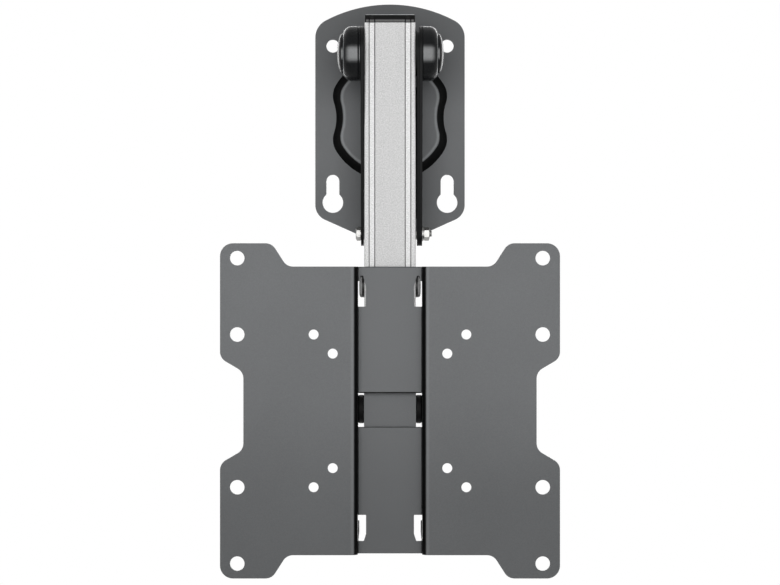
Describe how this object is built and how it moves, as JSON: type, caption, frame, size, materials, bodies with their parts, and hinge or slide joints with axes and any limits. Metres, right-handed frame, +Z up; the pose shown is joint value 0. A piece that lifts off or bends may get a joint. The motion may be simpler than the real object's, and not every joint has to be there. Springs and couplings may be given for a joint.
{
  "type": "tv ceiling mount",
  "caption": "Folding ceiling mount for a flat screen: a swivelling bracket under a domed ceiling plate holds an arm that folds up flat, with a tilting screen plate at its end.",
  "frame": {"origin": "where the swivel axis meets the face of the ceiling plate that lies against the ceiling", "axes": "+Z up to the ceiling, +Y from the fold pivot towards the screen plate with the arm folded up, +X to the right in the picture"},
  "size_m": [0.2226, 0.3838, 0.0674],
  "materials": {
    "coated_steel": "fine satin powder coat, dark grey",
    "plain_steel": "rolled, slightly dull",
    "zinc_steel": "bright zinc",
    "black_steel": "blackened, slightly glossy",
    "arm_aluminium": "fine matt, extruded and anodised",
    "cast_aluminium": "satin coat over a casting, dark grey",
    "cover_plastic": "satin black moulding",
    "washer_plastic": "dull black"
  },
  "bodies": {
    "ceiling": {"ceiling_plate": "coated_steel", "swivel_bolt": "zinc_steel", "swivel_nut": "zinc_steel", "upper_swivel_washer": "zinc_steel", "lower_swivel_washer": "zinc_steel", "swivel_disc": "washer_plastic"},
    "bracket": {"pivot_bracket": "coated_steel", "brake_plate": "plain_steel", "left_slide_washer": "washer_plastic", "right_slide_washer": "washer_plastic", "pivot_bolt": "zinc_steel", "pivot_nut": "zinc_steel", "left_pivot_washer": "zinc_steel", "right_pivot_washer": "zinc_steel", "spring_washer_1": "zinc_steel", "spring_washer_2": "zinc_steel", "cover_ring": "cover_plastic", "left_pivot_cover": "cover_plastic", "right_pivot_cover": "cover_plastic", "left_cover_insert": "cover_plastic", "right_cover_insert": "cover_plastic", "stop_bolt": "zinc_steel", "stop_washer": "zinc_steel", "stop_nut": "zinc_steel", "stop_tube": "zinc_steel"},
    "arm": {"arm_tube": "arm_aluminium", "arm_end_cap": "cover_plastic", "pivot_bush": "washer_plastic", "arm_fitting": "cast_aluminium", "clamp_bolt": "black_steel", "clamp_nut": "black_steel"},
    "screen": {"screen_plate": "coated_steel", "tilt_bolt": "zinc_steel", "tilt_nut": "zinc_steel", "left_tilt_washer": "washer_plastic", "right_tilt_washer": "washer_plastic", "left_flat_washer": "zinc_steel", "right_flat_washer": "zinc_steel"}
  },
  "joints": [
    {"name": "swivel", "type": "hinge", "parent": "ceiling", "child": "bracket", "pos_m": [0, 0, -0.0115], "axis": [0, 0, 1], "range_deg": [-180, 180]},
    {"name": "fold", "type": "hinge", "parent": "bracket", "child": "arm", "pos_m": [0, -0.0396, -0.043], "axis": [-1, 0, 0], "range_deg": [0, 90]},
    {"name": "tilt", "type": "hinge", "parent": "arm", "child": "screen", "pos_m": [0, 0.1968, -0.043], "axis": [1, 0, 0], "range_deg": [0, 15]}
  ]
}
